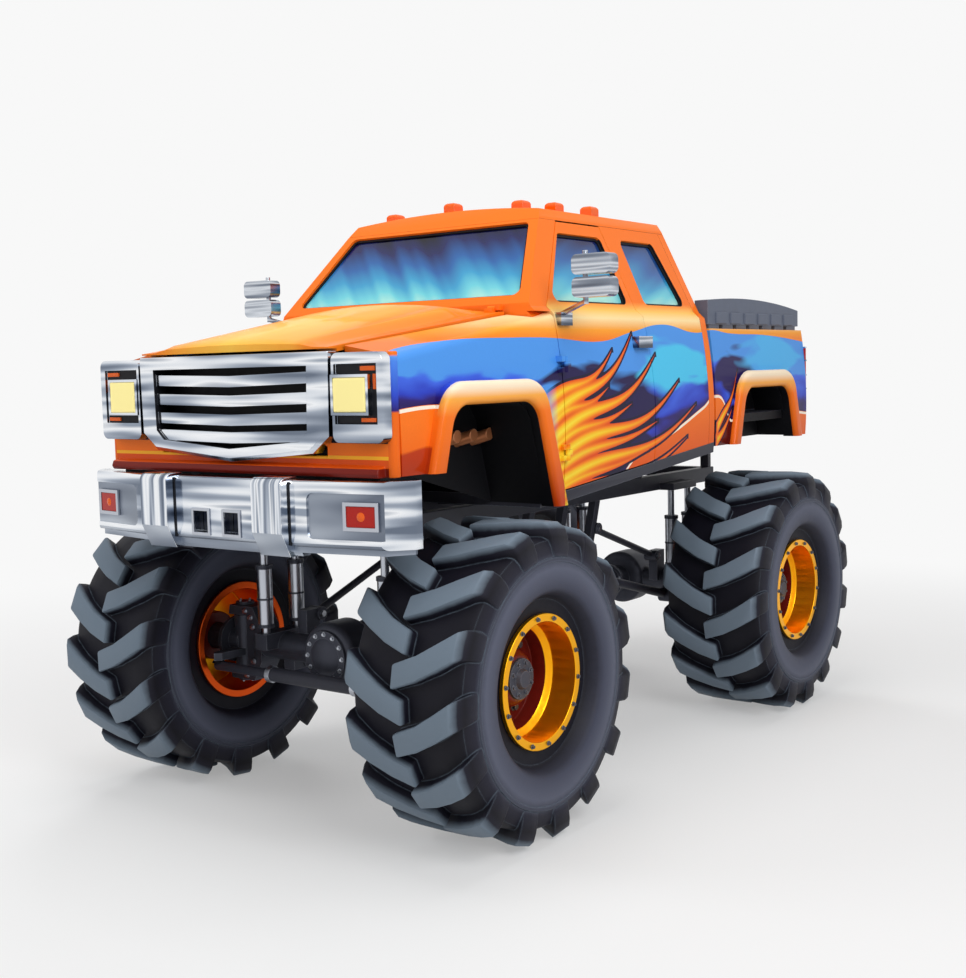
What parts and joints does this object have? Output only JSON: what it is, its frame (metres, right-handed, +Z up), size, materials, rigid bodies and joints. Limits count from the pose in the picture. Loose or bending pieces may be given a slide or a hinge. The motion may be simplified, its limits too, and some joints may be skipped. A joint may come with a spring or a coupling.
{
  "type": "monster truck",
  "caption": "Lifted pickup on a tube chassis with huge chevron-lugged tyres, steering axles, opening doors, hood and tailgate.",
  "frame": {"origin": "on the ground, midway between the axles on the truck's centre plane", "axes": "+X forward, +Y to the truck's left, +Z up"},
  "size_m": [5.18, 2.96, 3.5],
  "materials": {
    "paint_orange": "gloss orange body paint",
    "chrome": "polished chrome",
    "chassis_paint": "dark grey chassis paint",
    "tyre": "tyre rubber",
    "gold_rim": "gold wheel paint",
    "tinted_glass": "tinted glass",
    "lens_yellow": "pale yellow lamp lens",
    "lens_red": "red lamp lens",
    "lens_amber": "amber lamp lens",
    "dark_plastic": "dark plastic",
    "cast_iron": "cast housing",
    "bright_steel": "bright steel",
    "seat_fabric": "seat fabric",
    "header_coat": "heat-tinted header coat",
    "rail_grey": "dark grey rail paint"
  },
  "bodies": {
    "chassis": {"frame_rails": "chassis_paint", "frame_braces": "chassis_paint", "front_axle": "cast_iron", "rear_axle": "cast_iron", "suspension_links": "chassis_paint", "shocks": "bright_steel", "drive_shafts": "bright_steel", "transfer_case": "cast_iron", "engine_block": "cast_iron", "header_pipes": "header_coat", "radiator": "dark_plastic", "fenders": "paint_orange", "front_panel": "paint_orange", "grille": "chrome", "headlamp_bezels": "chrome", "headlamp_lenses": "lens_yellow", "bumper": "chrome", "red_lamps": "lens_red", "cab_front": "paint_orange", "cab_roof": "paint_orange", "cab_back": "paint_orange", "cab_sides": "paint_orange", "cab_floor": "paint_orange", "cab_glass": "tinted_glass", "dashboard": "dark_plastic", "steering_wheel": "dark_plastic", "seats": "seat_fabric", "roof_lights": "lens_amber", "bed_sides": "paint_orange", "bed_floor": "rail_grey", "bed_rails": "rail_grey"},
    "hood": {"hood": "paint_orange"},
    "tailgate": {"tailgate": "paint_orange"},
    "door_left": {"door_left": "paint_orange", "door_glass_left": "tinted_glass", "door_trim_left": "bright_steel"},
    "door_right": {"door_right": "paint_orange", "door_glass_right": "tinted_glass", "door_trim_right": "bright_steel"},
    "tie_rod_front": {"tie_rod_front": "bright_steel"},
    "knuckle_front_left": {"knuckle_front_left": "cast_iron"},
    "wheel_front_left": {"rim_front_left": "gold_rim", "tyre_front_left": "tyre"},
    "knuckle_front_right": {"knuckle_front_right": "cast_iron"},
    "wheel_front_right": {"rim_front_right": "gold_rim", "tyre_front_right": "tyre"},
    "tie_rod_rear": {"tie_rod_rear": "bright_steel"},
    "knuckle_rear_left": {"knuckle_rear_left": "cast_iron"},
    "wheel_rear_left": {"rim_rear_left": "gold_rim", "tyre_rear_left": "tyre"},
    "knuckle_rear_right": {"knuckle_rear_right": "cast_iron"},
    "wheel_rear_right": {"rim_rear_right": "gold_rim", "tyre_rear_right": "tyre"}
  },
  "joints": [
    {"name": "hood_lift", "type": "hinge", "parent": "chassis", "child": "hood", "pos_m": [1.04, 0, 2.797], "axis": [0, -1, 0], "range_deg": [0, 50]},
    {"name": "tailgate_drop", "type": "hinge", "parent": "chassis", "child": "tailgate", "pos_m": [-2.542, 0, 2.12], "axis": [0, -1, 0], "range_deg": [0, 90]},
    {"name": "door_left_swing", "type": "hinge", "parent": "chassis", "child": "door_left", "pos_m": [0.854, 1.09, 2.22], "axis": [0, 0, -1], "range_deg": [0, 60]},
    {"name": "door_right_swing", "type": "hinge", "parent": "chassis", "child": "door_right", "pos_m": [0.854, -1.09, 2.22], "axis": [0, 0, 1], "range_deg": [0, 60]},
    {"name": "steer_front_left", "type": "hinge", "parent": "chassis", "child": "knuckle_front_left", "pos_m": [1.625, 0.78, 0.838], "axis": [0, 0, 1], "range_deg": [-25, 25]},
    {"name": "spin_front_left", "type": "hinge", "parent": "knuckle_front_left", "child": "wheel_front_left", "pos_m": [1.625, 1.11, 0.838], "axis": [0, 1, 0], "continuous": true},
    {"name": "steer_front_right", "type": "hinge", "parent": "chassis", "child": "knuckle_front_right", "pos_m": [1.625, -0.78, 0.838], "axis": [0, 0, 1], "range_deg": [-25, 25]},
    {"name": "spin_front_right", "type": "hinge", "parent": "knuckle_front_right", "child": "wheel_front_right", "pos_m": [1.625, -1.11, 0.838], "axis": [0, 1, 0], "continuous": true},
    {"name": "tie_rod_front_pivot", "type": "hinge", "parent": "knuckle_front_left", "child": "tie_rod_front", "pos_m": [1.86, 0.78, 0.722], "axis": [0, 0, 1], "range_deg": [-25, 25]},
    {"name": "steer_rear_left", "type": "hinge", "parent": "chassis", "child": "knuckle_rear_left", "pos_m": [-1.625, 0.78, 0.838], "axis": [0, 0, 1], "range_deg": [-18, 18]},
    {"name": "spin_rear_left", "type": "hinge", "parent": "knuckle_rear_left", "child": "wheel_rear_left", "pos_m": [-1.625, 1.11, 0.838], "axis": [0, 1, 0], "continuous": true},
    {"name": "steer_rear_right", "type": "hinge", "parent": "chassis", "child": "knuckle_rear_right", "pos_m": [-1.625, -0.78, 0.838], "axis": [0, 0, 1], "range_deg": [-18, 18]},
    {"name": "spin_rear_right", "type": "hinge", "parent": "knuckle_rear_right", "child": "wheel_rear_right", "pos_m": [-1.625, -1.11, 0.838], "axis": [0, 1, 0], "continuous": true},
    {"name": "tie_rod_rear_pivot", "type": "hinge", "parent": "knuckle_rear_left", "child": "tie_rod_rear", "pos_m": [-1.86, 0.78, 0.722], "axis": [0, 0, 1], "range_deg": [-18, 18]}
  ],
  "couplings": [
    {"joint": "steer_front_right", "follows": "steer_front_left", "ratio": 1},
    {"joint": "tie_rod_front_pivot", "follows": "steer_front_left", "ratio": -1},
    {"joint": "steer_rear_right", "follows": "steer_rear_left", "ratio": 1},
    {"joint": "tie_rod_rear_pivot", "follows": "steer_rear_left", "ratio": -1}
  ]
}
